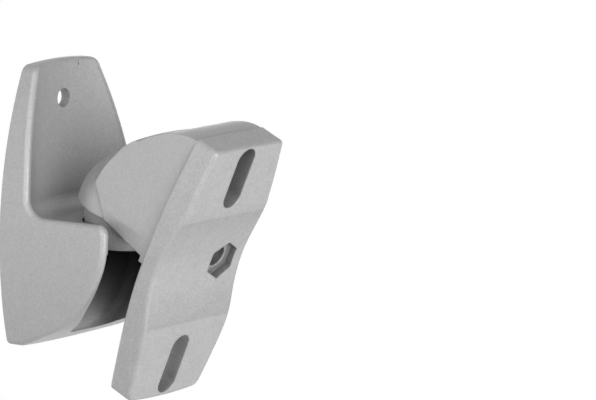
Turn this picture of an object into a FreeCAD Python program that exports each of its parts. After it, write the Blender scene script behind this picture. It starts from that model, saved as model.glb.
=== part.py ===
import FreeCAD, Part
import math, os
from FreeCAD import Vector

os.makedirs("parts", exist_ok=True)

# Millimetres. X runs along the wall, -Y stands out from the wall and Z points up.
# The origin is the upper wall screw hole, on the wall plane.

# Cutting tools run this far past what they cut.
overrun = 5.0
# Shapes that are joined, or tools that end inside the part, run this far into each other.
lap = 1.0
# Ends that are straight in effect, though drawn as arcs.
nearly_flat = 0.0001

# Wall part, seen from the front: a barrel outline.
wall_half_width = 32.1
wall_widest_z = -54.5
wall_side_radius = 164.0
wall_top_z = 14.4
wall_top_radius = 150.0
wall_bottom_z = -90.1
wall_bottom_radius = 200.0
wall_top_corner = 4.5
wall_bottom_corner = 3.0

# Wall part, seen from the side.
flank_top_z = -39.5
flank_nose_depth = 49.9
flank_nose_z = -46.0
flank_corner = 4.0
# Belly curve as drawn for a nose of this depth; it stretches with the real nose depth.
belly_drawn_depth = 49.9
belly_points = ((49.0, -53.0), (46.2, -60.0), (42.2, -66.0), (37.0, -71.5), (29.3, -77.9),
                (20.6, -82.4), (11.5, -86.2), (0.0, -90.8))
flank_edge_round = 2.0
flank_wall = 2.4
side_edge_tolerance = 0.05

# Scooped upper half and its ledge.
scoop_radius = 54.0
scoop_floor = 4.3
scoop_foot_round = 6.0
lip_step = 0.25
scoop_depth = 22.0
ledge_z = -41.8
ledge_thick = 3.6
ledge_front = 36.0
ledge_reach = 5.0
nick_x = 8.0
nick_width = 0.6
nick_depth = 0.5
nick_length = 3.0

# Hollow below the swivel drum.
hollow_back = 12.0
hollow_half_width = 29.3
hollow_centre_z = -57.5
hollow_back_round = 3.0

# Coring of the rear face.
core_skin = 2.4
core_top_z = -14.0
core_bottom_z = -84.5
core_rib = 2.2
core_side_step = 0.6
core_rib_z = (-35.0, -52.0, -76.0)

# Wall screws.
screw_hole_radius = 3.5
lower_screw_z = -64.0
screw_boss_radius = 7.0

# Swivel drum: pan axis is vertical, tilt axis is along X.
axis_y = -39.0
tilt_z = -38.0
drum_radius = 19.4
drum_bottom_z = -50.5
drum_wall = 2.6
drum_shoulder_z = -36.0
drum_top_z = -32.0
drum_top_radius = 18.0
drum_low_chamfer = 0.4
drum_web_low = -43.2
drum_web_thin = 1.5
drum_web_thick = 3.5
drum_hub_radius = 8.3
drum_window_half_deg = 66.0
boss_inner_x = 14.2
boss_radius = 4.6

# Tongue of the wall part that carries the drum.
tongue_low = -50.2
tongue_high = -44.2
tongue_half_width = 8.5
tongue_hub_radius = 12.5
gusset_gap = 1.5
gusset_step = 0.5
ledge_gap = 0.8

# Swivel fixing.
bolt_radius = 3.0
bolt_bore_gap = 0.2
bolt_head_radius = 5.25
bolt_head_height = 3.2
bolt_head_recess_gap = 0.4
bolt_socket_flats = 4.0
bolt_socket_depth = 2.0
bolt_head_round = 1.2
bolt_tip_chamfer = 0.5
bolt_end_z = -27.0
disc_radius = 12.0
disc_thick = 1.0
upper_disc_radius = 8.0
upper_disc_thick = 0.8
washer_radius = 6.2
washer_thick = 1.6
spring_radius = 6.0
spring_height = 1.3
spring_thick = 0.7
nut_flats = 10.0
nut_height = 6.0
nut_face_inset = 0.75
nut_cone_height = 2.4
nut_cone_spread = 3.0
nut_collar_inset = 0.4
locking_ring_thick = 1.4

# Tilt fixing: two set screws with a plain point.
tilt_screw_radius = 2.0
tilt_point_radius = 1.6
tilt_point_length = 3.6
tilt_screw_inner_x = 9.4
tilt_screw_end_x = 16.8
tilt_socket_flats = 2.0
tilt_socket_depth = 2.0
tilt_socket_gap = 0.05
tilt_point_end_gap = 0.3
tilt_ring_radius = 3.5
tilt_ring_thick = 1.0
tilt_ring_gap = 0.1

# Two ears of the hood, hanging into the cup and carrying the set screws.
ear_inner_x = 9.0
ear_outer_x = 13.2
ear_half_width = 4.4
ear_end_radius = 3.3
ear_height = 34.0
ear_bottom = 1.2

# Hood and speaker plate, drawn upright about the tilt axis: a out from the wall, b up.
rest_tilt_deg = 25.0
hood_seam = 26.7
hood_side_wall = 2.0
hood_half_width = 22.5
hood_taper_from = 4.0
hood_top_half_width = 18.8
dome_radius = 22.1
dome_inner_radius = 20.2
dome_front = 18.0
nape_lap = 10.0
# Flat side, read rearwards and up: along the dome, then along the roof to the seam.
cheek_points = ((7.4, -5.0), (3.0, 0.7), (-6.6, 10.8))
roof_points = ((-6.6, 10.8), (-5.8, 15.2), (-4.3, 20.4), (-1.5, 26.6), (2.8, 32.4),
               (8.6, 38.4), (13.6, 42.2), (18.8, 44.9), (22.7, 46.0), (26.7, 46.4))
inner_roof_points = ((-4.2, 12.0), (-3.7, 15.0), (-2.3, 20.0), (0.3, 26.0), (4.3, 31.6),
                     (10.0, 36.8), (14.6, 40.2), (19.3, 42.5), (23.2, 43.4))
inner_corner = (1.5, 4.2)
# Rounded back of the roof, in plan: height, half width, corner, apex.
nape_sections = ((7.5, 20.0, -5.0, -17.5), (15.0, 21.6, -5.9, -14.4), (21.0, 21.0, -4.3, -9.2),
                 (27.0, 20.5, -1.8, -4.2), (33.0, 20.0, 2.5, 1.0))
rim_points = ((-30.0, -3.6), (-20.0, -2.7), (-3.6, -0.5), (3.0, 0.5), (22.9, -2.6))
hood_top_b = 47.3
hood_top_spare = 0.5
foot_back = 23.2
foot_low = -5.0
lip_high = 1.0

plate_top_b = 47.3
plate_top_rise = 0.3
plate_bottom_b = -57.7
plate_bottom_radius = 160.0
plate_half_width = 25.0
plate_widest_b = -6.0
plate_side_radius = 240.0
plate_top_corner = 2.0
plate_bottom_corner = 3.5
plate_face = 36.8
valley_points = ((36.8, 21.4), (36.5, 18.0), (35.5, 12.0), (34.3, 5.0), (33.6, -2.0), (33.9, -9.0),
                 (35.1, -16.0), (36.8, -22.5), (37.8, -28.0), (38.2, -38.0), (38.3, -48.0),
                 (38.3, -60.0))
back_points = ((26.7, -6.5), (27.3, -22.0), (28.4, -38.0), (29.1, -54.0), (29.3, -60.0))
plate_edge_round = 1.2
plate_end_band = 8.0
slot_radius = 4.65
slot_length = 24.6
slot_centres = (34.15, -43.7)

# Hexagon pocket, to the right of the middle.
pocket_x = 13.0
pocket_b = -4.0
pocket_flats = 13.3
pocket_depth = 3.4
pocket_face = 34.0
pocket_hole_radius = 4.2
relief_half = 4.8


def block(x0, x1, y0, y1, z0, z1):
    return Part.makeBox(x1 - x0, y1 - y0, z1 - z0, Vector(x0, y0, z0))


def upright_cylinder(radius, z0, z1, x=0.0, y=axis_y):
    return Part.makeCylinder(radius, z1 - z0, Vector(x, y, z0), Vector(0, 0, 1))


def hexagon_prism(flats, height, base, direction, turn_deg=0.0):
    """A hexagonal bar with the given distance across flats."""
    radius = flats / math.sqrt(3.0)
    corners = []
    for i in range(7):
        angle = math.radians(60.0 * i + turn_deg)
        corners.append(Vector(radius * math.cos(angle), radius * math.sin(angle), 0))
    prism = Part.Face(Part.makePolygon(corners)).extrude(Vector(0, 0, height))
    prism.Placement = FreeCAD.Placement(base, FreeCAD.Rotation(Vector(0, 0, 1), direction))
    return prism


def barrel_half_width(z, half, widest, radius):
    return half - radius + math.sqrt(radius * radius - (z - widest) ** 2)


def wall_half(z):
    return barrel_half_width(z, wall_half_width, wall_widest_z, wall_side_radius)


def plate_half(b):
    return barrel_half_width(b, plate_half_width, plate_widest_b, plate_side_radius)


def barrel_prism(half_of, top, bottom, top_rise, bottom_drop, inset, y_front, y_back,
                 top_corner, bottom_corner):
    """A plate with bowed sides and slightly bowed ends, standing in the XZ plane."""
    top_x = half_of(top) - inset
    low_x = half_of(bottom) - inset
    mid = (top + bottom) / 2.0
    mid_x = half_of(mid) - inset

    def at(x, z):
        return Vector(x, y_back, z)

    edges = [
        Part.Arc(at(-top_x, top), at(0, top + top_rise), at(top_x, top)).toShape(),
        Part.Arc(at(top_x, top), at(mid_x, mid), at(low_x, bottom)).toShape(),
        Part.Arc(at(low_x, bottom), at(0, bottom - bottom_drop), at(-low_x, bottom)).toShape(),
        Part.Arc(at(-low_x, bottom), at(-mid_x, mid), at(-top_x, top)).toShape(),
    ]
    prism = Part.Face(Part.Wire(edges)).extrude(Vector(0, y_front - y_back, 0))
    if top_corner > 0:
        corners = {top_corner: [], bottom_corner: []}
        for edge in prism.Edges:
            a, b = edge.Vertexes[0].Point, edge.Vertexes[-1].Point
            if abs(a.x - b.x) < 1e-6 and abs(a.z - b.z) < 1e-6:
                corners[top_corner if a.z > mid else bottom_corner].append(edge)
        for radius, picked in corners.items():
            prism = prism.makeFillet(radius, [e for e in prism.Edges if
                                              any(same_edge(e, p) for p in picked)])
    return prism


def same_edge(first, second):
    return (first.CenterOfMass - second.CenterOfMass).Length < 1e-4


def side_sheet(points_and_curves, x0, x1):
    """Extrudes a closed side outline, given as edges in the plane x = x0, along X."""
    return Part.Face(Part.Wire(points_and_curves)).extrude(Vector(x1 - x0, 0, 0))


def spline(points):
    curve = Part.BSplineCurve()
    curve.interpolate(points)
    return curve.toShape()


def scoop_cylinder(low, deeper):
    """Upright cylinder with a rounded foot: the scooped front of the upper half."""
    tool = upright_cylinder(scoop_radius + deeper, low, wall_top_z + overrun, 0.0,
                            -scoop_floor - scoop_radius)
    foot = [e for e in tool.Edges if abs(e.BoundBox.ZMax - low) < 1e-6]
    return tool.makeFillet(scoop_foot_round, foot)


def wall_body():
    """Bowed outline, scooped above and with a round belly below."""
    top_rise = wall_top_radius - math.sqrt(wall_top_radius ** 2 - wall_half(wall_top_z) ** 2)
    low_drop = wall_bottom_radius - math.sqrt(
        wall_bottom_radius ** 2 - wall_half(wall_bottom_z) ** 2)
    outline = barrel_prism(wall_half, wall_top_z - top_rise, wall_bottom_z + low_drop,
                           top_rise, low_drop, 0.0, -flank_nose_depth - 2 * lap, 0.0,
                           wall_top_corner, wall_bottom_corner)
    x0 = -wall_half_width - 2 * lap

    def at(depth, z):
        return Vector(x0, -depth, z)

    turn = flank_corner * (1.0 - math.sqrt(0.5))
    corner = Part.Arc(at(flank_nose_depth - flank_corner, flank_top_z),
                      at(flank_nose_depth - turn, flank_top_z - turn),
                      at(flank_nose_depth, flank_top_z - flank_corner)).toShape()
    stretch = flank_nose_depth / belly_drawn_depth
    belly = spline([at(flank_nose_depth, flank_nose_z)]
                   + [at(depth * stretch, z) for depth, z in belly_points])
    lower = side_sheet([
        Part.makeLine(at(*belly_points[-1]), at(0, flank_top_z)),
        Part.makeLine(at(0, flank_top_z), at(flank_nose_depth - flank_corner, flank_top_z)),
        corner,
        Part.makeLine(at(flank_nose_depth, flank_top_z - flank_corner),
                      at(flank_nose_depth, flank_nose_z)),
        belly], x0, -x0)
    upper = block(x0, -x0, -scoop_depth, 0.0, flank_top_z, wall_top_z + 3 * lap)
    body = lower.fuse(upper).removeSplitter().common(outline)
    return body.cut(scoop_cylinder(flank_top_z, 0.0)).removeSplitter()


def on_side_edge(edge):
    """True for the outer front edge of either side, below the top corner."""
    middle = edge.valueAt((edge.FirstParameter + edge.LastParameter) / 2.0)
    points = [v.Point for v in edge.Vertexes] + [middle]
    on_side = all(abs(abs(q.x) - wall_half(q.z)) < side_edge_tolerance for q in points)
    return on_side and middle.y < -lap and middle.z < wall_top_z - wall_top_corner


def scoop_cutter():
    """Floor of the scoop, set back from the lips and sunk between the flanks."""
    keep = barrel_prism(wall_half, wall_top_z + overrun, ledge_z - overrun, nearly_flat,
                        nearly_flat, flank_wall, -flank_nose_depth - overrun, lap, 0.0, 0.0)
    return scoop_cylinder(ledge_z, lip_step).common(keep)


def hollow_cutter():
    """Round-bottomed opening below the drum, with softened inner corners."""
    half = hollow_half_width
    high = ledge_z - ledge_thick

    def at(x, z):
        return Vector(x, -hollow_back, z)

    outline = [Part.makeLine(at(-half, high), at(half, high)),
               Part.makeLine(at(half, high), at(half, hollow_centre_z)),
               Part.Arc(at(half, hollow_centre_z), at(0, hollow_centre_z - half),
                        at(-half, hollow_centre_z)).toShape(),
               Part.makeLine(at(-half, hollow_centre_z), at(-half, high))]
    tool = Part.Face(Part.Wire(outline)).extrude(Vector(0, -flank_nose_depth, 0))
    inner = [e for e in tool.Edges if
             abs(e.BoundBox.YMin + hollow_back) < 1e-3 and abs(e.BoundBox.YMax + hollow_back) < 1e-3]
    return tool.makeFillet(hollow_back_round, inner)


def rear_cores():
    """Pockets moulded into the hidden rear face, with ribs and screw bosses left standing."""
    depth = hollow_back - core_skin
    body = barrel_prism(wall_half, core_top_z, core_bottom_z, nearly_flat, nearly_flat,
                        flank_wall + core_side_step, -depth, lap, 0.0, 0.0)
    floor = upright_cylinder(scoop_radius + core_skin, ledge_z - core_skin,
                             wall_top_z + overrun, 0.0, -scoop_floor - scoop_radius)
    body = body.cut(floor)
    for z in core_rib_z:
        body = body.cut(block(-wall_half_width, wall_half_width, -depth - overrun, overrun,
                              z - core_rib / 2, z + core_rib / 2))
    body = body.cut(block(-core_rib / 2, core_rib / 2, -depth - overrun, overrun,
                          wall_bottom_z, wall_top_z))
    boss = Part.makeCylinder(screw_boss_radius, depth + 2 * overrun,
                             Vector(0, overrun, lower_screw_z), Vector(0, -1, 0))
    return body.cut(boss)


def ledge_front_cutter():
    """Open front between the flanks, ahead of the ledge."""
    return barrel_prism(wall_half, ledge_z + ledge_reach, ledge_z - ledge_thick - ledge_reach,
                        nearly_flat, nearly_flat, flank_wall, -flank_nose_depth - ledge_reach,
                        -ledge_front, 0.0, 0.0)


def drum_tongue():
    """Tongue and round hub on which the drum turns."""
    root = -hollow_back + lap
    tongue = block(-tongue_half_width, tongue_half_width, axis_y, root, tongue_low,
                   tongue_high)
    tongue = tongue.fuse(upright_cylinder(tongue_hub_radius, tongue_low, tongue_high))
    gusset = block(-tongue_half_width, tongue_half_width, axis_y + drum_radius + gusset_gap,
                   root, tongue_low, ledge_z - gusset_step)
    return tongue.fuse(gusset).removeSplitter()


def make_wall_part():
    tongue = drum_tongue()
    part = wall_body()
    part = part.makeFillet(flank_edge_round, [e for e in part.Edges if on_side_edge(e)])
    part = part.fuse(upright_cylinder(tongue_hub_radius, tongue_low, tongue_high))
    part = part.cut(scoop_cutter())
    part = part.cut(hollow_cutter().cut(tongue))
    part = part.cut(ledge_front_cutter().cut(tongue))
    round_gap = drum_radius + ledge_gap
    part = part.cut(upright_cylinder(round_gap, tongue_high, ledge_z + lap))
    part = part.cut(upright_cylinder(round_gap, tongue_low, tongue_high).cut(tongue))
    part = part.cut(rear_cores())
    for z in (0.0, lower_screw_z):
        part = part.cut(Part.makeCylinder(screw_hole_radius, hollow_back + 2 * overrun,
                                          Vector(0, overrun, z), Vector(0, -1, 0)))
    part = part.cut(upright_cylinder(bolt_radius + bolt_bore_gap, tongue_low - overrun,
                                     tongue_high + overrun))
    part = part.cut(upright_cylinder(bolt_head_radius + bolt_head_recess_gap,
                                     tongue_low - lap, tongue_low + bolt_head_height))
    nick_front = -scoop_floor - nick_x * nick_x / (2 * scoop_radius)
    part = part.cut(block(nick_x - nick_width / 2, nick_x + nick_width / 2,
                          nick_front - overrun, nick_front + nick_depth,
                          wall_top_z - nick_length, wall_top_z + overrun))
    return part.removeSplitter()


def make_drum():
    """Open cup: skirt cut away at the rear for the tongue, web across, bosses inside."""
    def at(r, z):
        return Vector(r, 0, z)

    inner_r = drum_radius - drum_wall
    outline = [at(inner_r, drum_bottom_z), at(drum_radius - drum_low_chamfer, drum_bottom_z),
               at(drum_radius, drum_bottom_z + drum_low_chamfer),
               at(drum_radius, drum_shoulder_z), at(drum_top_radius, drum_top_z),
               at(inner_r, drum_top_z), at(inner_r, drum_bottom_z)]
    drum = Part.Face(Part.makePolygon(outline)).revolve(Vector(0, 0, 0), Vector(0, 0, 1), 360)
    drum.translate(Vector(0, axis_y, 0))
    web = upright_cylinder(inner_r + lap, drum_web_low, drum_web_low + drum_web_thin)
    hub = upright_cylinder(drum_hub_radius, drum_web_low, drum_web_low + drum_web_thick)
    drum = drum.fuse([web, hub])
    for side in (-1, 1):
        drum = drum.fuse(Part.makeCylinder(boss_radius, inner_r + lap - boss_inner_x,
                                           Vector(side * boss_inner_x, axis_y, tilt_z),
                                           Vector(side, 0, 0)))
    window_low = drum_bottom_z - overrun
    window = Part.makeCylinder(drum_radius + overrun, drum_web_low - window_low,
                               Vector(0, axis_y, window_low), Vector(0, 0, 1),
                               2 * drum_window_half_deg)
    window.rotate(Vector(0, axis_y, 0), Vector(0, 0, 1), 90 - drum_window_half_deg)
    drum = drum.cut(window)
    drum = drum.cut(upright_cylinder(bolt_radius + bolt_bore_gap, drum_bottom_z, drum_top_z))
    for side in (-1, 1):
        drum = drum.cut(Part.makeCylinder(tilt_point_radius + tilt_socket_gap,
                                          tilt_screw_end_x - boss_inner_x + tilt_point_end_gap,
                                          Vector(side * boss_inner_x, axis_y, tilt_z),
                                          Vector(side, 0, 0)))
    return drum.removeSplitter()


def stack_levels():
    """Heights of the parts threaded on the swivel bolt, from the tongue upwards."""
    disc_low = tongue_high
    web_top = drum_web_low + drum_web_thick
    washer_low = web_top + upper_disc_thick
    spring_low = washer_low + washer_thick
    nut_low = spring_low + 2 * spring_height
    return disc_low, web_top, washer_low, spring_low, nut_low


def ring(outer, inner, z0, z1):
    return upright_cylinder(outer, z0, z1).cut(upright_cylinder(inner, z0 - lap, z1 + lap))


def make_lower_disc():
    return ring(disc_radius, bolt_radius + bolt_bore_gap, tongue_high, tongue_high + disc_thick)


def make_upper_disc():
    web_top = stack_levels()[1]
    return ring(upper_disc_radius, bolt_radius + bolt_bore_gap, web_top,
                web_top + upper_disc_thick)


def make_washer():
    low = stack_levels()[2]
    return ring(washer_radius, bolt_radius + bolt_bore_gap, low, low + washer_thick)


def cone_spring(low, opens_up):
    """One dished spring washer."""
    inner = bolt_radius + bolt_bore_gap
    rise = spring_height - spring_thick
    near, far = (rise, 0.0) if opens_up else (0.0, rise)
    points = [Vector(inner, 0, near), Vector(spring_radius, 0, far),
              Vector(spring_radius, 0, far + spring_thick), Vector(inner, 0, near + spring_thick)]
    face = Part.Face(Part.makePolygon(points + points[:1]))
    spring = face.revolve(Vector(0, 0, 0), Vector(0, 0, 1), 360)
    spring.translate(Vector(0, axis_y, low))
    return spring


def make_springs():
    low = stack_levels()[3]
    return cone_spring(low, True), cone_spring(low + spring_height, False)


def make_nut():
    """Locking nut with a plain collar on top."""
    low = stack_levels()[4]
    body_height = nut_height - locking_ring_thick
    nut = hexagon_prism(nut_flats, body_height, Vector(0, axis_y, low), Vector(0, 0, 1))
    corner = nut_flats / math.sqrt(3.0)
    trim = Part.makeCone(corner - nut_face_inset, corner + nut_cone_spread, nut_cone_height,
                         Vector(0, axis_y, low), Vector(0, 0, 1))
    low_band = nut.common(trim)
    high_band = nut.common(upright_cylinder(corner + lap, low + nut_cone_height,
                                            low + nut_height))
    nut = low_band.fuse(high_band)
    collar = upright_cylinder(nut_flats / 2 - nut_collar_inset, low + body_height,
                              low + nut_height)
    nut = nut.fuse(collar)
    bore = upright_cylinder(bolt_radius, low - lap, low + nut_height + lap)
    return nut.cut(bore).removeSplitter()


def make_swivel_bolt():
    """Low-head screw from below, with a hexagon socket."""
    head_low = tongue_low
    head = upright_cylinder(bolt_head_radius, head_low, head_low + bolt_head_height)
    rim = [e for e in head.Edges if abs(e.BoundBox.ZMax - head_low) < 1e-6]
    head = head.makeFillet(bolt_head_round, rim)
    shank = upright_cylinder(bolt_radius, head_low + bolt_head_height, bolt_end_z)
    tip = [e for e in shank.Edges if abs(e.BoundBox.ZMin - bolt_end_z) < 1e-6]
    shank = shank.makeChamfer(bolt_tip_chamfer, tip)
    bolt = head.fuse(shank).removeSplitter()
    socket = hexagon_prism(bolt_socket_flats, bolt_socket_depth, Vector(0, axis_y, head_low),
                           Vector(0, 0, 1))
    return bolt.cut(socket)


def make_tilt_screws():
    screws = []
    for side in (-1, 1):
        along = Vector(side, 0, 0)
        shoulder_x = tilt_screw_end_x - tilt_point_length
        body = Part.makeCylinder(tilt_screw_radius, shoulder_x - tilt_screw_inner_x,
                                 Vector(side * tilt_screw_inner_x, axis_y, tilt_z), along)
        point = Part.makeCylinder(tilt_point_radius, tilt_point_length,
                                  Vector(side * shoulder_x, axis_y, tilt_z), along)
        screw = body.fuse(point)
        socket = hexagon_prism(tilt_socket_flats, tilt_socket_depth,
                               Vector(side * tilt_screw_inner_x, axis_y, tilt_z), along)
        screws.append(screw.cut(socket).removeSplitter())
    return screws


def make_tilt_rings():
    rings = []
    for side in (-1, 1):
        along = Vector(side, 0, 0)
        start = Vector(side * ear_outer_x, axis_y, tilt_z)
        outer = Part.makeCylinder(tilt_ring_radius, tilt_ring_thick, start, along)
        rings.append(outer.cut(Part.makeCylinder(tilt_point_radius + tilt_ring_gap, tilt_ring_thick,
                                                 start, along)))
    return rings


def upright(x, a, b):
    """Point of the tilting pieces in their upright position."""
    return Vector(x, axis_y - a, tilt_z + b)


def cheek_prism(points, taper_inset):
    """Side outline drawn through, with sides that lean in towards the top."""
    x0 = -hood_half_width - overrun
    edges = []
    for kind, run in points:
        run = [upright(x0, a, b) for a, b in run]
        if kind == "curve":
            edges.append(spline(run))
        else:
            edges += [Part.makeLine(p, q) for p, q in zip(run, run[1:])]
    prism = side_sheet(edges, x0, -x0)
    low_b = foot_low - 2 * overrun
    half = hood_half_width - taper_inset
    top_half = hood_top_half_width - taper_inset
    high_b = hood_top_b + hood_top_spare
    front_a = hood_seam + lap
    corners = [(-half, low_b), (half, low_b), (half, hood_taper_from),
               (top_half, high_b), (-top_half, high_b),
               (-half, hood_taper_from), (-half, low_b)]
    front = [upright(x, front_a, b) for x, b in corners]
    keep = Part.Face(Part.makePolygon(front)).extrude(Vector(0, front_a + dome_radius, 0))
    return prism.common(keep)


def hood_nape():
    """Roof behind the cheeks, rounded in plan where it runs into the dome."""
    front = hood_seam - nape_lap
    wires = []
    for b, half, corner, apex in nape_sections:
        wires.append(Part.Wire([
            Part.makeLine(upright(-half, front, b), upright(half, front, b)),
            Part.makeLine(upright(half, front, b), upright(half, corner, b)),
            Part.Arc(upright(half, corner, b), upright(0, apex, b),
                     upright(-half, corner, b)).toShape(),
            Part.makeLine(upright(-half, corner, b), upright(-half, front, b))]))
    return Part.makeLoft(wires, True, False)


def hood_solid():
    seam_low = (hood_seam, cheek_points[0][1])
    outer = cheek_prism((("line", cheek_points), ("curve", roof_points),
                         ("line", (roof_points[-1], seam_low, cheek_points[0]))), 0.0)
    dome = Part.makeSphere(dome_radius, Vector(0, axis_y, tilt_z))
    reach = dome_radius + overrun
    dome = dome.common(block(-reach, reach, axis_y - dome_front, axis_y + reach,
                             tilt_z + foot_low, tilt_z + reach))
    return outer.fuse([dome, hood_nape()]).removeSplitter()


def hood_hollow():
    """Room for the drum, open below and towards the plate."""
    low = foot_low - overrun
    start = inner_roof_points[0]
    end = inner_roof_points[-1]
    hollow = cheek_prism((("curve", inner_roof_points),
                          ("line", (end, (foot_back, low), (inner_corner[0], low),
                                    inner_corner, start))), hood_side_wall)
    ball = Part.makeSphere(dome_inner_radius, Vector(0, axis_y, tilt_z))
    well = upright_cylinder(dome_inner_radius, tilt_z + low, tilt_z)
    return hollow.fuse([ball, well])


def tilt_to_rest(shape):
    shape.rotate(Vector(0, axis_y, tilt_z), Vector(1, 0, 0), rest_tilt_deg)
    return shape


def below_rim():
    """Everything under the slanting rim, back to front as far as the foot."""
    x0 = -hood_half_width - overrun
    low = foot_low - 2 * overrun
    line = [upright(x0, a, b) for a, b in rim_points]
    line += [upright(x0, foot_back, rim_points[-1][1]), upright(x0, foot_back, low),
             upright(x0, rim_points[0][0], low), line[0]]
    return Part.Face(Part.makePolygon(line)).extrude(Vector(-2 * x0, 0, 0))


def hood_ear(side):
    """Flat ear with a round end about the tilt axis."""
    x0 = min(side * ear_inner_x, side * ear_outer_x)
    plate = block(x0, x0 + ear_outer_x - ear_inner_x, axis_y - ear_half_width,
                  axis_y + ear_half_width, tilt_z + ear_bottom, tilt_z + ear_height)
    end = Part.makeCylinder(ear_end_radius, ear_outer_x - ear_inner_x,
                            Vector(x0, axis_y, tilt_z), Vector(1, 0, 0))
    return plate.fuse(end)


def make_hood():
    outer = hood_solid()
    mouth_half = hood_top_half_width - hood_side_wall
    mouth_top = inner_roof_points[-1][1] - lap
    mouth = block(-mouth_half, mouth_half, axis_y - hood_seam - lap, axis_y - foot_back + lap,
                  tilt_z + lip_high, tilt_z + mouth_top)
    relief = block(pocket_x - relief_half, pocket_x + relief_half, axis_y - hood_seam - lap,
                   axis_y - foot_back + lap, tilt_z + foot_low - lap, tilt_z + lip_high + lap)
    hood = outer.cut(hood_hollow()).cut(mouth).cut(below_rim()).cut(relief)
    for side in (-1, 1):
        hood = hood.fuse(hood_ear(side).common(outer))
    hood = hood.removeSplitter()
    for side in (-1, 1):
        hood = hood.cut(Part.makeCylinder(tilt_screw_radius, ear_outer_x + lap,
                                          Vector(0, axis_y, tilt_z), Vector(side, 0, 0)))
    return tilt_to_rest(hood)


def plate_profile():
    x0 = -plate_half_width - overrun

    def at(a, b):
        return upright(x0, a, b)

    high = plate_top_b + overrun
    valley = Part.BSplineCurve()
    straight_down = Vector(0, 0, -1)
    valley.interpolate(Points=[at(a, b) for a, b in valley_points],
                       InitialTangent=straight_down, FinalTangent=straight_down)
    valley = valley.toShape()
    back = spline([at(a, b) for a, b in back_points])
    edges = [
        Part.makeLine(at(hood_seam, high), at(plate_face, high)),
        Part.makeLine(at(plate_face, high), at(*valley_points[0])),
        valley,
        Part.makeLine(at(*valley_points[-1]), at(*back_points[-1])),
        back,
        Part.makeLine(at(*back_points[0]), at(hood_seam, high)),
    ]
    return side_sheet(edges, x0, -x0)


def plate_outline():
    drop = plate_bottom_radius - math.sqrt(
        plate_bottom_radius ** 2 - plate_half(plate_bottom_b) ** 2)

    def half(z):
        return plate_half(z - tilt_z)

    near, far = plate_reach()
    return barrel_prism(half, plate_top_b + tilt_z, plate_bottom_b + drop + tilt_z,
                        plate_top_rise, drop, 0.0, axis_y - far, axis_y - near,
                        plate_top_corner, plate_bottom_corner)


def plate_reach():
    """Where tools that go right through the plate start and end."""
    return hood_seam - overrun, plate_face + 2 * overrun


def slot_cutter(b):
    near, far = plate_reach()
    straight = slot_length / 2 - slot_radius
    tool = block(-slot_radius, slot_radius, axis_y - far, axis_y - near,
                 tilt_z + b - straight, tilt_z + b + straight)
    for end in (-straight, straight):
        tool = tool.fuse(Part.makeCylinder(slot_radius, far - near, upright(0, far, b + end),
                                           Vector(0, 1, 0)))
    return tool.removeSplitter()


def front_edge_of_plate(edge):
    """True for the edge between the front face and the outline."""
    middle = edge.valueAt((edge.FirstParameter + edge.LastParameter) / 2.0)
    points = [v.Point for v in edge.Vertexes] + [middle]
    in_front = all(axis_y - q.y > hood_seam + overrun for q in points)
    across = edge.BoundBox.XLength > plate_half_width
    b = middle.z - tilt_z
    at_end = b > plate_top_b - lap or b < plate_bottom_b + plate_end_band
    return in_front and (at_end or not across)


def make_plate():
    plate = plate_profile().common(plate_outline())
    plate = plate.makeFillet(plate_edge_round, [e for e in plate.Edges if front_edge_of_plate(e)])
    for b in slot_centres:
        plate = plate.cut(slot_cutter(b))
    near, far = plate_reach()
    floor = pocket_face - pocket_depth
    pocket = hexagon_prism(pocket_flats, far - floor, upright(pocket_x, floor, pocket_b),
                           Vector(0, -1, 0), 90.0)
    plate = plate.cut(pocket)
    plate = plate.cut(Part.makeCylinder(pocket_hole_radius, far - near,
                                        upright(pocket_x, far, pocket_b), Vector(0, 1, 0)))
    return tilt_to_rest(plate.removeSplitter())


def save(name, shapes):
    """Writes one node; several solids share it as a group."""
    shapes = shapes if isinstance(shapes, (list, tuple)) else [shapes]
    solids = [s for shape in shapes for s in shape.Solids]
    for solid in solids:
        if not solid.isValid() or solid.Volume <= 0:
            print("check", name, solid.isValid(), solid.Volume)
    body = solids[0] if len(solids) == 1 else Part.makeCompound(solids)
    body.exportStep("parts/" + name + ".step")
    print(name, len(solids), round(sum(s.Volume for s in solids), 1))


save("wall_part", make_wall_part())
save("swivel_drum", make_drum())
save("swivel_bolt", make_swivel_bolt())
save("lower_friction_disc", make_lower_disc())
save("upper_friction_disc", make_upper_disc())
save("swivel_washer", make_washer())
springs = make_springs()
save("lower_disc_spring", springs[0])
save("upper_disc_spring", springs[1])
save("swivel_nut", make_nut())
save("tilt_screws", make_tilt_screws())
save("tilt_friction_rings", make_tilt_rings())
save("hood", make_hood())
save("speaker_plate", make_plate())
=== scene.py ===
import math
import bmesh
import bpy
import numpy as np
from mathutils import Matrix, Vector


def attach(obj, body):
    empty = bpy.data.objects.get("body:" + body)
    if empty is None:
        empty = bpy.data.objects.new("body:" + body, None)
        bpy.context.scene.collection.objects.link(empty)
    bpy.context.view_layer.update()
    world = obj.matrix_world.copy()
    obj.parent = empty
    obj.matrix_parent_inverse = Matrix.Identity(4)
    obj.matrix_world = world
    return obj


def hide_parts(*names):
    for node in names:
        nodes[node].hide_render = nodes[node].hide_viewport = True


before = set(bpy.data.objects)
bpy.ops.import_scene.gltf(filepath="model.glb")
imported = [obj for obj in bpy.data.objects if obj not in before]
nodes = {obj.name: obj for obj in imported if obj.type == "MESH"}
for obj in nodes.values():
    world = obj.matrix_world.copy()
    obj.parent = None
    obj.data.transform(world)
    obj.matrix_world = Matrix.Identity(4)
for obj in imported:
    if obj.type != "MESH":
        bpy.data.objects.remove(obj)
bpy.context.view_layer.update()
print("frame loaded:", len(nodes), "nodes")

number = "NodeSocketFloat"
vector = "NodeSocketVector"


def addNode(tree, kind, x, y, **settings):
    node = tree.nodes.new(kind)
    node.location = (x, y)
    for name, value in settings.items():
        setattr(node, name, value)
    return node


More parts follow.
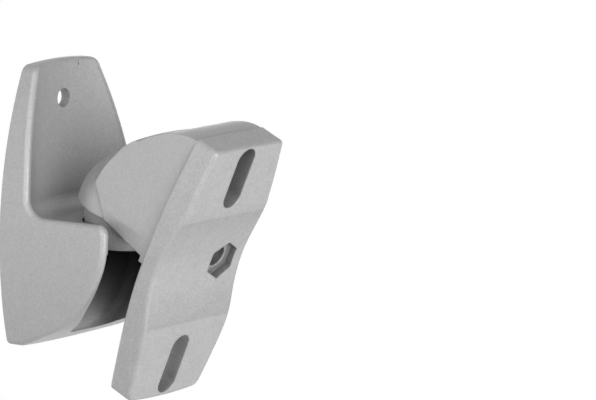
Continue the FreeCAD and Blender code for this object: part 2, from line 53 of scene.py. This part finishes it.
def setInputs(node, values):
    for name, value in values.items():
        node.inputs[name].default_value = value


# a group of nodes: its inputs are all numbers, label to default; its outputs label to kind
def newGroup(name, inputs, outputs):
    group = bpy.data.node_groups.new(name, "ShaderNodeTree")
    for label, value in inputs.items():
        socket = group.interface.new_socket(label, in_out="INPUT", socket_type=number)
        socket.default_value = value
    for label, kind in outputs.items():
        group.interface.new_socket(label, in_out="OUTPUT", socket_type=kind)
    start = addNode(group, "NodeGroupInput", -900, 0)
    end = addNode(group, "NodeGroupOutput", 900, 0)
    return group, start, end


def mathNode(tree, operation, a, b, x, y, clamp=False):
    node = addNode(tree, "ShaderNodeMath", x, y, operation=operation, use_clamp=clamp)
    for i, value in enumerate((a, b)):
        if value is None:
            continue
        if isinstance(value, (int, float)):
            node.inputs[i].default_value = value
        else:
            tree.links.new(value, node.inputs[i])
    return node.outputs[0]


flakeLook = {
    "mottleShare": 0.09, "mottleDetail": 3.0, "mottleRoughness": 0.6, "dullShare": 0.9,
    "grainDetail": 2.0, "grainRoughness": 0.55,
}


# fine metal flakes in the plastic: cells of random tone over a coarser soft mottle; the few
# cells past the dull share sparkle
def makeFlakeGroup(look):
    group, start, end = newGroup(
        "metalFlakes", {"Flake Size": 0.0004, "Contrast": 0.1, "Mottle": 0.04},
        {"Tone": number, "Sparkle": number, "Grain Height": number})
    where = addNode(group, "ShaderNodeTexCoord", -900, -300)
    perMetre = mathNode(group, "DIVIDE", 1.0, start.outputs["Flake Size"], -700, 100)
    cells = addNode(group, "ShaderNodeTexVoronoi", -500, 200, feature="F1")
    group.links.new(where.outputs["Object"], cells.inputs["Vector"])
    group.links.new(perMetre, cells.inputs["Scale"])
    split = addNode(group, "ShaderNodeSeparateColor", -300, 200)
    group.links.new(cells.outputs["Color"], split.inputs["Color"])
    centred = mathNode(group, "SUBTRACT", split.outputs["Red"], 0.5, -100, 260)
    flake = mathNode(group, "MULTIPLY", centred, start.outputs["Contrast"], 80, 260)
    coarseScale = mathNode(group, "MULTIPLY", perMetre, look["mottleShare"], -700, -100)
    mottle = addNode(group, "ShaderNodeTexNoise", -500, -60)
    setInputs(mottle, {"Detail": look["mottleDetail"], "Roughness": look["mottleRoughness"]})
    group.links.new(where.outputs["Object"], mottle.inputs["Vector"])
    group.links.new(coarseScale, mottle.inputs["Scale"])
    mottleCentred = mathNode(group, "SUBTRACT", mottle.outputs["Fac"], 0.5, -100, -60)
    mottleTone = mathNode(group, "MULTIPLY", mottleCentred, start.outputs["Mottle"], 80, -60)
    together = mathNode(group, "ADD", flake, mottleTone, 260, 120)
    tone = mathNode(group, "ADD", together, 1.0, 440, 120)
    sparkle = mathNode(group, "GREATER_THAN", split.outputs["Green"], look["dullShare"],
                       80, 460)
    grain = addNode(group, "ShaderNodeTexNoise", -500, -340)
    setInputs(grain, {"Detail": look["grainDetail"], "Roughness": look["grainRoughness"]})
    group.links.new(where.outputs["Object"], grain.inputs["Vector"])
    group.links.new(perMetre, grain.inputs["Scale"])
    group.links.new(tone, end.inputs["Tone"])
    group.links.new(sparkle, end.inputs["Sparkle"])
    group.links.new(grain.outputs["Fac"], end.inputs["Grain Height"])
    return group


handlingLook = {
    "stretch": (1.0, 1.0, 0.35), "turn": (0.0, 0.5, 0.2), "detail": 5.0, "roughness": 0.65,
}


# handling marks: soft streaks that shift the gloss a little, and dust on faces that look up
def makeHandlingGroup(look):
    group, start, end = newGroup(
        "handlingMarks", {"Amount": 0.1, "Streak Length": 0.02},
        {"Gloss Shift": number, "Dust": number})
    where = addNode(group, "ShaderNodeTexCoord", -900, -200)
    stretch = addNode(group, "ShaderNodeMapping", -700, -200)
    setInputs(stretch, {"Scale": look["stretch"], "Rotation": look["turn"]})
    group.links.new(where.outputs["Object"], stretch.inputs["Vector"])
    perMetre = mathNode(group, "DIVIDE", 1.0, start.outputs["Streak Length"], -700, 60)
    streak = addNode(group, "ShaderNodeTexNoise", -450, 60)
    setInputs(streak, {"Detail": look["detail"], "Roughness": look["roughness"]})
    group.links.new(stretch.outputs["Vector"], streak.inputs["Vector"])
    group.links.new(perMetre, streak.inputs["Scale"])
    centred = mathNode(group, "SUBTRACT", streak.outputs["Fac"], 0.5, -200, 60)
    shift = mathNode(group, "MULTIPLY", centred, start.outputs["Amount"], 0, 60)
    surface = addNode(group, "ShaderNodeNewGeometry", -450, -360)
    axes = addNode(group, "ShaderNodeSeparateXYZ", -250, -360)
    group.links.new(surface.outputs["Normal"], axes.inputs["Vector"])
    dust = mathNode(group, "MULTIPLY", axes.outputs["Z"], streak.outputs["Fac"], 0, -300,
                    clamp=True)
    group.links.new(shift, end.inputs["Gloss Shift"])
    group.links.new(dust, end.inputs["Dust"])
    return group


softEdgeLook = {"samples": 6, "edgeGain": 3.0}


# edges rounded by a fraction of a millimetre, as moulding leaves them
def makeSoftEdgeGroup(look):
    group, start, end = newGroup(
        "softEdges", {"Radius": 0.0004}, {"Normal": vector, "Edge": number})
    rounded = addNode(group, "ShaderNodeBevel", -300, 0, samples=look["samples"])
    group.links.new(start.outputs["Radius"], rounded.inputs["Radius"])
    surface = addNode(group, "ShaderNodeNewGeometry", -300, -260)
    dot = addNode(group, "ShaderNodeVectorMath", 0, -160, operation="DOT_PRODUCT")
    group.links.new(rounded.outputs["Normal"], dot.inputs[0])
    group.links.new(surface.outputs["Normal"], dot.inputs[1])
    bend = mathNode(group, "SUBTRACT", 1.0, dot.outputs["Value"], 200, -160)
    edge = mathNode(group, "MULTIPLY", bend, look["edgeGain"], 400, -160, clamp=True)
    group.links.new(rounded.outputs["Normal"], end.inputs["Normal"])
    group.links.new(edge, end.inputs["Edge"])
    return group


recessShadeLook = {"samples": 10, "openShare": 0.85}


# painted shade in recesses: the more closed in a point is, the darker its colour is painted;
# a point with the open share of its surroundings free has the full tone
def makeRecessShadeGroup(look):
    group, start, end = newGroup(
        "recessPaintedShade", {"Reach": 0.012, "Deepest Tone": 0.2}, {"Tone": number})
    openness = addNode(group, "ShaderNodeAmbientOcclusion", -500, 0, samples=look["samples"])
    group.links.new(start.outputs["Reach"], openness.inputs["Distance"])
    spread = addNode(group, "ShaderNodeMapRange", -200, 0, interpolation_type="SMOOTHSTEP")
    setInputs(spread, {"From Min": 0.0, "From Max": look["openShare"], "To Max": 1.0})
    group.links.new(openness.outputs["AO"], spread.inputs["Value"])
    group.links.new(start.outputs["Deepest Tone"], spread.inputs["To Min"])
    group.links.new(spread.outputs["Result"], end.inputs["Tone"])
    return group


# the wall part's lower hollow gets painted shade: its colour is darkest under the ledge and
# brightens towards the floor, the tone being the square of a straight ramp from the ledge down
# to the floor. A point is inside when it is below the ledge, ahead of the back wall and within
# the half width of the middle plane or, below the round centre, of the round floor's axis
def makeHollowShadeGroup():
    group, start, end = newGroup(
        "hollowPaintedShade",
        {"Half Width": 0.0293, "Round Centre": -0.0575, "Ledge": -0.05, "Floor": -0.086,
         "Back": -0.0118, "Deepest Tone": 0.1, "Floor Tone": 0.6},
        {"Tone": number, "Inside": number})
    where = addNode(group, "ShaderNodeTexCoord", -1300, 0)
    axes = addNode(group, "ShaderNodeSeparateXYZ", -1100, 0)
    group.links.new(where.outputs["Object"], axes.inputs["Vector"])
    below = mathNode(group, "SUBTRACT", start.outputs["Round Centre"], axes.outputs["Z"],
                     -700, -100)
    below = mathNode(group, "MAXIMUM", below, 0.0, -550, -100)
    across = mathNode(group, "POWER", axes.outputs["X"], 2.0, -700, 60)
    down = mathNode(group, "POWER", below, 2.0, -400, -100)
    together = mathNode(group, "ADD", across, down, -250, 0)
    reach = mathNode(group, "SQRT", together, None, -100, 0)
    within = mathNode(group, "LESS_THAN", reach, start.outputs["Half Width"], 60, 0)
    under = mathNode(group, "LESS_THAN", axes.outputs["Z"], start.outputs["Ledge"], 60, 160)
    ahead = mathNode(group, "LESS_THAN", axes.outputs["Y"], start.outputs["Back"], 60, 320)
    inside = mathNode(group, "MULTIPLY", within, under, 240, 80)
    inside = mathNode(group, "MULTIPLY", inside, ahead, 340, 160)
    ramp = addNode(group, "ShaderNodeMapRange", 60, -240)
    group.links.new(axes.outputs["Z"], ramp.inputs["Value"])
    group.links.new(start.outputs["Ledge"], ramp.inputs["From Min"])
    group.links.new(start.outputs["Floor"], ramp.inputs["From Max"])
    group.links.new(start.outputs["Deepest Tone"], ramp.inputs["To Min"])
    group.links.new(start.outputs["Floor Tone"], ramp.inputs["To Max"])
    steeper = mathNode(group, "POWER", ramp.outputs["Result"], 2.0, 240, -200)
    less = mathNode(group, "SUBTRACT", steeper, 1.0, 400, -200)
    change = mathNode(group, "MULTIPLY", less, inside, 520, 0)
    tone = mathNode(group, "ADD", change, 1.0, 680, 0)
    group.links.new(tone, end.inputs["Tone"])
    group.links.new(inside, end.inputs["Inside"])
    return group


creaseLook = {"plateTilt": 25, "sidewaysLimit": 0.5}


# the speaker plate's creases, on faces that don't look sideways: below the upper one and
# above the lower one the face dips by depth times one minus e to the minus distance over
# width, along the tilted plate; the shallower of the two dips counts
def makeCreaseGroup(look):
    group, start, end = newGroup(
        "plateCreases", {"Upper": 0.0, "Lower": -0.044, "Depth": 0.0005, "Width": 0.004},
        {"Height": number})
    where = addNode(group, "ShaderNodeTexCoord", -1300, 0)
    along = addNode(group, "ShaderNodeVectorMath", -1100, 0, operation="DOT_PRODUCT")
    tilt = math.radians(look["plateTilt"])
    along.inputs[1].default_value = (0.0, -math.sin(tilt), math.cos(tilt))
    group.links.new(where.outputs["Object"], along.inputs[0])
    upper, lower, place = start.outputs["Upper"], start.outputs["Lower"], along.outputs["Value"]
    dips = []
    for first, second, y in ((upper, place, 200), (place, lower, -200)):
        past = mathNode(group, "SUBTRACT", first, second, -700, y)
        past = mathNode(group, "MAXIMUM", past, 0.0, -550, y)
        share = mathNode(group, "DIVIDE", past, start.outputs["Width"], -400, y)
        fade = mathNode(group, "MULTIPLY", share, -1.0, -250, y)
        fade = mathNode(group, "EXPONENT", fade, None, -100, y)
        dips.append(mathNode(group, "SUBTRACT", fade, 1.0, 60, y))
    shallower = mathNode(group, "MAXIMUM", dips[0], dips[1], 240, 0)
    height = mathNode(group, "MULTIPLY", shallower, start.outputs["Depth"], 420, 0)
    surface = addNode(group, "ShaderNodeNewGeometry", -100, -400)
    axes = addNode(group, "ShaderNodeSeparateXYZ", 60, -400)
    group.links.new(surface.outputs["Normal"], axes.inputs["Vector"])
    sideways = mathNode(group, "ABSOLUTE", axes.outputs["X"], None, 240, -400)
    front = mathNode(group, "LESS_THAN", sideways, look["sidewaysLimit"], 420, -400)
    height = mathNode(group, "MULTIPLY", height, front, 600, 0)
    group.links.new(height, end.inputs["Height"])
    return group


flakeGroup = makeFlakeGroup(flakeLook)
hollowShadeGroup = makeHollowShadeGroup()
creaseGroup = makeCreaseGroup(creaseLook)
recessShadeGroup = makeRecessShadeGroup(recessShadeLook)
softEdgeGroup = makeSoftEdgeGroup(softEdgeLook)
handlingGroup = makeHandlingGroup(handlingLook)
print("effect groups made")


def startMaterial(name):
    material = bpy.data.materials.new(name)
    material.use_nodes = True
    tree = material.node_tree
    tree.nodes.clear()
    output = addNode(tree, "ShaderNodeOutputMaterial", 900, 0)
    shader = addNode(tree, "ShaderNodeBsdfPrincipled", 600, 0)
    tree.links.new(shader.outputs["BSDF"], output.inputs["Surface"])
    return material, tree, shader


def placeGroup(tree, group, x, y, values):
    node = addNode(tree, "ShaderNodeGroup", x, y, node_tree=group)
    setInputs(node, values)
    return node


# the recess shade reach and tone set how far and how dark the painted shade in recesses goes
silverPlastic = {
    "colour": 0.48, "metallic": 0.2, "specular": 0.38, "roughness": 0.42, "edgeRadius": 0.0005,
    "flakeSize": 0.00042, "contrast": 0.22, "mottle": 0.10, "sparkleGloss": -0.10,
    "grainDepth": 0.00002, "grainStrength": 0.35, "recessShadeReach": 0.014, "recessShadeTone": 0.12,
    "marks": 0.10, "streakLength": 0.016, "dust": 0.02,
}
# the wall's hollow values set the painted shade in its lower hollow: dark under the ledge,
# brighter at the floor, with more metal and roughness there to darken its reflections
wallLook = dict(
    silverPlastic, contrast=0.19, recessShadeReach=0.016, recessShadeTone=0.14,
    hollow={"Half Width": 0.0301, "Ledge": -0.0500, "Floor": -0.0860, "Deepest Tone": 0.0,
            "Floor Tone": 1.2},
    hollowRoughness=0.45, hollowShadeMetal=0.7)
# the plate's edge tone sets a painted highlight along its edges
plateLook = dict(
    silverPlastic, mottle=0.2, edgeRadius=0.0009, edgeHighlightTone=0.25,
    creases={"Upper": -0.0001, "Lower": -0.0442, "Depth": 0.0011, "Width": 0.0045})
# hood and drum: painted shade in recesses with a short reach, near their joins with other parts
hoodLook = dict(silverPlastic, contrast=0.15, recessShadeReach=0.005, recessShadeTone=0.3)
drumLook = dict(silverPlastic, recessShadeReach=0.003, recessShadeTone=0.7)


# silver plastic with painted shade in its recesses; a look that names a hollow gets painted
# shade there, one with an edge tone a painted highlight along its edges, and one with creases
# their bumps
def makeSilver(name, look):
    material, tree, shader = startMaterial(name)
    flakes = placeGroup(tree, flakeGroup, -300, 200,
                        {"Flake Size": look["flakeSize"], "Contrast": look["contrast"],
                         "Mottle": look["mottle"]})
    marks = placeGroup(tree, handlingGroup, -300, -100,
                       {"Amount": look["marks"], "Streak Length": look["streakLength"]})
    occlusionShade = placeGroup(tree, recessShadeGroup, -300, 420,
                        {"Reach": look["recessShadeReach"], "Deepest Tone": look["recessShadeTone"]})
    soft = placeGroup(tree, softEdgeGroup, 0, -400, {"Radius": look["edgeRadius"]})
    level = mathNode(tree, "MULTIPLY", flakes.outputs["Tone"], look["colour"], 0, 200)
    dust = mathNode(tree, "MULTIPLY", marks.outputs["Dust"], look["dust"], 0, 60)
    level = mathNode(tree, "ADD", level, dust, 100, 120)
    # painted shade: the colour is darkened where nearby geometry closes the surface in
    level = mathNode(tree, "MULTIPLY", level, occlusionShade.outputs["Tone"], 150, 300)
    shine = mathNode(tree, "MULTIPLY", flakes.outputs["Sparkle"], look["sparkleGloss"], 0, -60)
    rough = mathNode(tree, "ADD", shine, marks.outputs["Gloss Shift"], 150, -60)
    rough = mathNode(tree, "ADD", rough, look["roughness"], 300, -60)
    shader.inputs["Metallic"].default_value = look["metallic"]
    shader.inputs["Specular IOR Level"].default_value = look["specular"]
    # painted shade in the lower hollow: the colour is scaled by the hollow's tone, and the
    # metal share and roughness are raised there so that reflections darken too
    if "hollow" in look:
        hollow = placeGroup(tree, hollowShadeGroup, -300, 640, look["hollow"])
        inside = hollow.outputs["Inside"]
        level = mathNode(tree, "MULTIPLY", level, hollow.outputs["Tone"], 180, 400)
        duller = mathNode(tree, "MULTIPLY", inside, look["hollowRoughness"], 300, -160)
        rough = mathNode(tree, "ADD", rough, duller, 420, -60, clamp=True)
        darker = mathNode(tree, "MULTIPLY", inside, look["hollowShadeMetal"], 300, -20)
        metal = mathNode(tree, "ADD", darker, look["metallic"], 420, -20)
        tree.links.new(metal, shader.inputs["Metallic"])
    # painted highlight: the colour is lightened along edges, convex and concave alike
    if "edgeHighlightTone" in look:
        paintedEdgeHighlight = mathNode(tree, "MULTIPLY", soft.outputs["Edge"], look["edgeHighlightTone"], 150, 500)
        level = mathNode(tree, "ADD", level, paintedEdgeHighlight, 220, 500)
    base = addNode(tree, "ShaderNodeCombineColor", 350, 200)
    for channel in ("Red", "Green", "Blue"):
        tree.links.new(level, base.inputs[channel])
    tree.links.new(base.outputs["Color"], shader.inputs["Base Color"])
    tree.links.new(rough, shader.inputs["Roughness"])
    bump = addNode(tree, "ShaderNodeBump", 300, -300)
    setInputs(bump, {"Strength": look["grainStrength"], "Distance": look["grainDepth"]})
    tree.links.new(soft.outputs["Normal"], bump.inputs["Normal"])
    tree.links.new(flakes.outputs["Grain Height"], bump.inputs["Height"])
    last = bump
    if "creases" in look:
        creases = placeGroup(tree, creaseGroup, 100, -600, look["creases"])
        last = addNode(tree, "ShaderNodeBump", 450, -450)
        setInputs(last, {"Strength": 1.0, "Distance": 1.0})
        tree.links.new(creases.outputs["Height"], last.inputs["Height"])
        tree.links.new(bump.outputs["Normal"], last.inputs["Normal"])
    tree.links.new(last.outputs["Normal"], shader.inputs["Normal"])
    return material


zincSteel = {
    "colour": (0.62, 0.62, 0.63, 1.0), "blotchColour": (0.52, 0.54, 0.57, 1.0),
    "roughness": 0.32, "blotchScale": 420.0, "blotchDetail": 4.0, "blotchRoughness": 0.6,
    "marks": 0.18, "streakLength": 0.003,
}


def makeZinc(name, look):
    material, tree, shader = startMaterial(name)
    where = addNode(tree, "ShaderNodeTexCoord", -900, 0)
    blotch = addNode(tree, "ShaderNodeTexNoise", -600, 160)
    setInputs(blotch, {"Scale": look["blotchScale"], "Detail": look["blotchDetail"],
                       "Roughness": look["blotchRoughness"]})
    tree.links.new(where.outputs["Object"], blotch.inputs["Vector"])
    marks = placeGroup(tree, handlingGroup, -600, -160,
                       {"Amount": look["marks"], "Streak Length": look["streakLength"]})
    tint = addNode(tree, "ShaderNodeMix", 0, 160, data_type="RGBA", blend_type="MIX")
    setInputs(tint, {"A": look["colour"], "B": look["blotchColour"]})
    tree.links.new(blotch.outputs["Fac"], tint.inputs["Factor"])
    tree.links.new(tint.outputs["Result"], shader.inputs["Base Color"])
    rough = mathNode(tree, "ADD", marks.outputs["Gloss Shift"], look["roughness"], 0, -100)
    tree.links.new(rough, shader.inputs["Roughness"])
    shader.inputs["Metallic"].default_value = 1.0
    return material


nylonLook = {
    "colour": (0.82, 0.79, 0.72), "roughness": 0.42, "grainSize": 0.0009, "contrast": 0.02,
    "mottle": 0.05, "marks": 0.12, "streakLength": 0.006, "milkiness": 0.12,
    "milkDepth": 0.002,
}


def makeNylon(name, look):
    material, tree, shader = startMaterial(name)
    flakes = placeGroup(tree, flakeGroup, -600, 160,
                        {"Flake Size": look["grainSize"], "Contrast": look["contrast"],
                         "Mottle": look["mottle"]})
    marks = placeGroup(tree, handlingGroup, -600, -160,
                       {"Amount": look["marks"], "Streak Length": look["streakLength"]})
    scale = addNode(tree, "ShaderNodeVectorMath", 0, 160, operation="SCALE")
    scale.inputs[0].default_value = look["colour"]
    tree.links.new(flakes.outputs["Tone"], scale.inputs["Scale"])
    tree.links.new(scale.outputs["Vector"], shader.inputs["Base Color"])
    rough = mathNode(tree, "ADD", marks.outputs["Gloss Shift"], look["roughness"], 0, -100)
    tree.links.new(rough, shader.inputs["Roughness"])
    setInputs(shader, {"Subsurface Weight": look["milkiness"],
                       "Subsurface Scale": look["milkDepth"]})
    return material


wallSilver = makeSilver("wallSilver", wallLook)
plateSilver = makeSilver("plateSilver", plateLook)
hoodSilver = makeSilver("hoodSilver", hoodLook)
drumSilver = makeSilver("drumSilver", drumLook)
zinc = makeZinc("zincPlatedSteel", zincSteel)
nylon = makeNylon("naturalNylon", nylonLook)
finishOf = {
    "wall_part": wallSilver, "swivel_drum": drumSilver, "hood": hoodSilver,
    "speaker_plate": plateSilver,
    "swivel_bolt": zinc, "swivel_washer": zinc, "lower_disc_spring": zinc,
    "upper_disc_spring": zinc, "swivel_nut": zinc, "tilt_screws": zinc,
    "lower_friction_disc": nylon, "upper_friction_disc": nylon, "tilt_friction_rings": nylon,
}
for name, material in finishOf.items():
    nodes[name].data.materials.clear()
    nodes[name].data.materials.append(material)
print("materials on", len(finishOf), "nodes")

# points nearer than the join distance become one, so a ring of the closed radius ends a piece
closedRadius = 1e-6
joinDistance = 5e-6
sharpAngle = 32


# a turned surface: each row is (place along the axis, radius, hexagon share), rows join into
# a tube; a hexagon's radius is half its flats over the cosine of the angle from the middle
# of the nearest flat
def turnedSurface(rows, around):
    turn = np.arange(around) * (2.0 * math.pi / around)
    sixth = math.pi / 3.0
    fromFlat = np.mod(turn, sixth) - sixth / 2.0
    along, radius, hexShare = (np.array(column)[:, None] for column in zip(*rows))
    reach = radius * (1.0 + hexShare * (1.0 / np.cos(fromFlat)[None, :] - 1.0))
    return np.stack([reach * np.cos(turn), reach * np.sin(turn),
                     along + np.zeros_like(reach)], axis=-1)


# a thread cuts inwards by its depth times a triangle wave of turns along the axis, and fades
# over the run-out at both ends; rows inside the shank share, such as the socket's, stay
def cutThread(points, look, low, high):
    around = points.shape[1]
    turn = np.arange(around) / around
    along = points[..., 2]
    wave = np.abs(2.0 * np.mod(along / look["pitch"] - turn[None, :], 1.0) - 1.0)
    fade = np.clip(np.minimum(along - low, high - along) / look["runOut"], 0, 1)
    radius = np.hypot(points[..., 0], points[..., 1])
    onShank = radius > look["radius"] * look["shankShare"]
    cut = look["depth"] * wave * fade * onShank
    scale = (radius - cut) / radius
    points[..., 0] *= scale
    points[..., 1] *= scale
    return points


# joins grids of rows into one mesh; each grid has its own three rows of turn and its place
def tubeObject(name, grids, turns, material):
    verts, faces, start = [], [], 0
    for grid, (turn, place) in zip(grids, turns):
        rowCount, around = grid.shape[:2]
        rowStart = np.arange(rowCount - 1)[:, None] * around
        step = np.arange(around)[None, :]
        low = (rowStart + step).ravel()
        side = (rowStart + (step + 1) % around).ravel()
        faces.append(np.stack([low, side, side + around, low + around], axis=1) + start)
        verts.append(grid.reshape(-1, 3) @ np.array(turn).T + np.array(place))
        start += rowCount * around
    mesh = bpy.data.meshes.new(name)
    mesh.from_pydata(np.concatenate(verts).tolist(), [], np.concatenate(faces).tolist())
    joined = bmesh.new()
    joined.from_mesh(mesh)
    bmesh.ops.remove_doubles(joined, verts=joined.verts, dist=joinDistance)
    joined.to_mesh(mesh)
    joined.free()
    mesh.polygons.foreach_set("use_smooth", np.ones(len(mesh.polygons), dtype=bool))
    mesh.set_sharp_from_angle(angle=math.radians(sharpAngle))
    mesh.materials.append(material)
    thing = bpy.data.objects.new(name, mesh)
    bpy.context.scene.collection.objects.link(thing)
    return thing


# a hexagon socket: from the middle of its floor out to the flats and up to its mouth
def socketRows(mouth, look):
    floor = mouth + look["socketDepth"]
    return [(floor, closedRadius, 1.0), (floor, look["halfFlats"], 1.0),
            (mouth, look["halfFlats"], 1.0)]


def threadRows(low, high, look):
    count = int(round((high - low) / look["rowStep"]))
    return [(low + (high - low) * i / count, look["radius"], 0.0) for i in range(count + 1)]


# M6 low-head bolt put in from below; its crests stand 0.03 mm inside the CAD so that the nut
# doesn't rub on them when the drum turns
swivelBolt = {
    "place": (0.0, -0.039, 0.0), "headLow": -0.0502, "headHeight": 0.0032,
    "headRadius": 0.00525, "headRound": 0.0012, "roundStart": 0.15, "roundSteps": 8,
    "halfFlats": 0.0020, "socketDepth": 0.0020, "radius": 0.00297, "end": -0.0270,
    "tip": 0.0005, "pitch": 0.0010, "depth": 0.00055, "threadStart": -0.0405,
    "runOut": 0.0008, "rowStep": 0.0001, "shankShare": 0.75, "around": 72,
}


def makeBolt(look):
    low, rounding, end = look["headLow"], look["headRound"], look["end"]
    corner = look["headRadius"] - rounding
    high = low + look["headHeight"]
    rows = socketRows(low, look) + [(low, corner, 0.0)]
    rows += [(low + rounding * (1 - math.cos(a)), corner + rounding * math.sin(a), 0.0)
             for a in np.linspace(look["roundStart"], math.pi / 2, look["roundSteps"])]
    rows += [(high, look["headRadius"], 0.0), (high, look["radius"], 0.0)]
    rows += threadRows(high + look["rowStep"], end - look["tip"], look)
    rows += [(end, look["radius"] - look["tip"], 0.0), (end, closedRadius, 0.0)]
    grid = cutThread(turnedSurface(rows, look["around"]), look, look["threadStart"], end)
    piece = tubeObject("swivelBoltThreaded", [grid], [(np.eye(3), look["place"])], zinc)
    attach(piece, "wall_bracket")
    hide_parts("swivel_bolt")


# the two M4 set screws with dog points; points and shoulders stand 0.02 to 0.05 mm inside
# the CAD so that the rings don't rub on them
tiltScrew = {
    "place": (0.0, -0.039, -0.038), "inner": 0.0094, "shoulder": 0.01315, "end": 0.0168,
    "halfFlats": 0.0010, "socketDepth": 0.0020, "radius": 0.0020, "pointRadius": 0.00158,
    "chamfer": 0.0003, "pitch": 0.0007, "depth": 0.00038, "runOut": 0.0003,
    "rowStep": 0.00007, "shankShare": 0.75, "around": 60,
    "rightWay": ((0, 0, 1), (1, 0, 0), (0, 1, 0)),
    "leftWay": ((0, 0, -1), (-1, 0, 0), (0, 1, 0)),
}


def makeTiltScrews(look):
    inner, shoulder, end = look["inner"], look["shoulder"], look["end"]
    point, chamfer = look["pointRadius"], look["chamfer"]
    rows = socketRows(inner, look)
    rows += threadRows(inner, shoulder, look)
    rows += [(shoulder, point, 0.0), (end - chamfer, point, 0.0),
             (end, point - chamfer, 0.0), (end, closedRadius, 0.0)]
    grid = cutThread(turnedSurface(rows, look["around"]), look, inner, shoulder)
    turns = [(look["rightWay"], look["place"]), (look["leftWay"], look["place"])]
    piece = tubeObject("tiltScrewsThreaded", [grid, grid], turns, zinc)
    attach(piece, "speaker_head")
    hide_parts("tilt_screws")


makeBolt(swivelBolt)
makeTiltScrews(tiltScrew)
print("threaded bolt and set screws made")

white = (1.0, 1.0, 1.0, 1.0)
stage = {"floorZ": -1.6, "half": 4.0, "colour": (0.86, 0.86, 0.86, 1.0), "worldLevel": 0.02}


# white to the camera's rays, reflected ones and those through glass, plain to all others
def addSurround(tree, kind, plain, output):
    path = addNode(tree, "ShaderNodeLightPath", -500, 300)
    seen = mathNode(tree, "ADD", path.outputs["Is Camera Ray"], path.outputs["Is Glossy Ray"],
                    -300, 300, clamp=True)
    seen = mathNode(tree, "ADD", seen, path.outputs["Is Transmission Ray"], -100, 300,
                    clamp=True)
    bright = addNode(tree, kind, 0, 120)
    setInputs(bright, {"Color": white, "Strength": 1.0})
    mix = addNode(tree, "ShaderNodeMixShader", 300, 0)
    tree.links.new(seen, mix.inputs["Fac"])
    tree.links.new(plain.outputs[0], mix.inputs[1])
    tree.links.new(bright.outputs[0], mix.inputs[2])
    tree.links.new(mix.outputs["Shader"], output.inputs["Surface"])


# pale floor: plain matt to the lamps, white to the camera and in reflections
def makeFloor(look):
    h, z = look["half"], look["floorZ"]
    mesh = bpy.data.meshes.new("studioFloor")
    mesh.from_pydata([(-h, -h, z), (h, -h, z), (h, h, z), (-h, h, z)], [], [(0, 1, 2, 3)])
    mesh.update()
    floor = bpy.data.objects.new("studioFloor", mesh)
    bpy.context.scene.collection.objects.link(floor)
    material = bpy.data.materials.new("paleFloor")
    material.use_nodes = True
    tree = material.node_tree
    tree.nodes.clear()
    output = addNode(tree, "ShaderNodeOutputMaterial", 600, 0)
    matt = addNode(tree, "ShaderNodeBsdfDiffuse", 0, -120)
    matt.inputs["Color"].default_value = look["colour"]
    addSurround(tree, "ShaderNodeEmission", matt, output)
    floor.data.materials.append(material)


def makeWorld(look):
    world = bpy.data.worlds.new("studioWorld")
    bpy.context.scene.world = world
    world.use_nodes = True
    tree = world.node_tree
    tree.nodes.clear()
    output = addNode(tree, "ShaderNodeOutputWorld", 600, 0)
    soft = addNode(tree, "ShaderNodeBackground", 0, -120)
    setInputs(soft, {"Color": white, "Strength": look["worldLevel"]})
    addSurround(tree, "ShaderNodeBackground", soft, output)


# soft lamps on a ring round the middle: azimuth from the front, elevation, watts
lampRing = {"middle": (0.0, -0.045, -0.045), "distance": 1.7, "size": 0.9}
lamps = {
    "frontSoft": (-25, 5, 14.9), "sideLeft": (-95, 5, 6.9), "besideLeft": (-70, 5, 2.1),
    "highLeft": (-70, 40, 6.6), "behindLeft": (-150, 5, 1.9), "lowFront": (0, -35, 3.6),
    "lowRight": (30, -35, 2.8), "lowFarRight": (60, -35, 2.2),
    "besideRight": (120, -5, 3.5), "behind": (180, -5, 3.5),
}


def areaLamp(name, azimuth, elevation, power, ring):
    data = bpy.data.lights.new(name, "AREA")
    data.shape = "RECTANGLE"
    data.size = data.size_y = ring["size"]
    data.energy = power
    lamp = bpy.data.objects.new(name, data)
    bpy.context.scene.collection.objects.link(lamp)
    az, el = math.radians(azimuth), math.radians(elevation)
    toLamp = Vector((math.sin(az) * math.cos(el), -math.cos(az) * math.cos(el), math.sin(el)))
    middle = Vector(ring["middle"])
    place = middle + ring["distance"] * toLamp
    lamp.location = place
    lamp.rotation_euler = (middle - place).to_track_quat("-Z", "Y").to_euler()


makeFloor(stage)
makeWorld(stage)
for name, (azimuth, elevation, power) in lamps.items():
    areaLamp(name, azimuth, elevation, power, lampRing)

# camera where the photograph was taken from: place, and the picture's right, up and back
view = {
    "place": (-1.35397345, -1.18010392, 0.24759880),
    "right": (0.6180041, -0.78614623, -0.00671185),
    "up": (0.12816334, 0.09232109, 0.98744669),
    "back": (-0.77565785, -0.61110632, 0.15780994),
    "lens": 297.3, "sensorWidth": 36.0, "clipStart": 0.05, "clipEnd": 50.0,
}


def makeCamera(look):
    data = bpy.data.cameras.new("photoCamera")
    data.lens = look["lens"]
    data.sensor_width = look["sensorWidth"]
    data.clip_start = look["clipStart"]
    data.clip_end = look["clipEnd"]
    camera = bpy.data.objects.new("photoCamera", data)
    bpy.context.scene.collection.objects.link(camera)
    turn = Matrix((look["right"], look["up"], look["back"])).transposed().to_4x4()
    camera.matrix_world = Matrix.Translation(look["place"]) @ turn
    bpy.context.scene.camera = camera


makeCamera(view)
bpy.context.scene.view_settings.view_transform = "Standard"
print("stage, lamps and camera set")
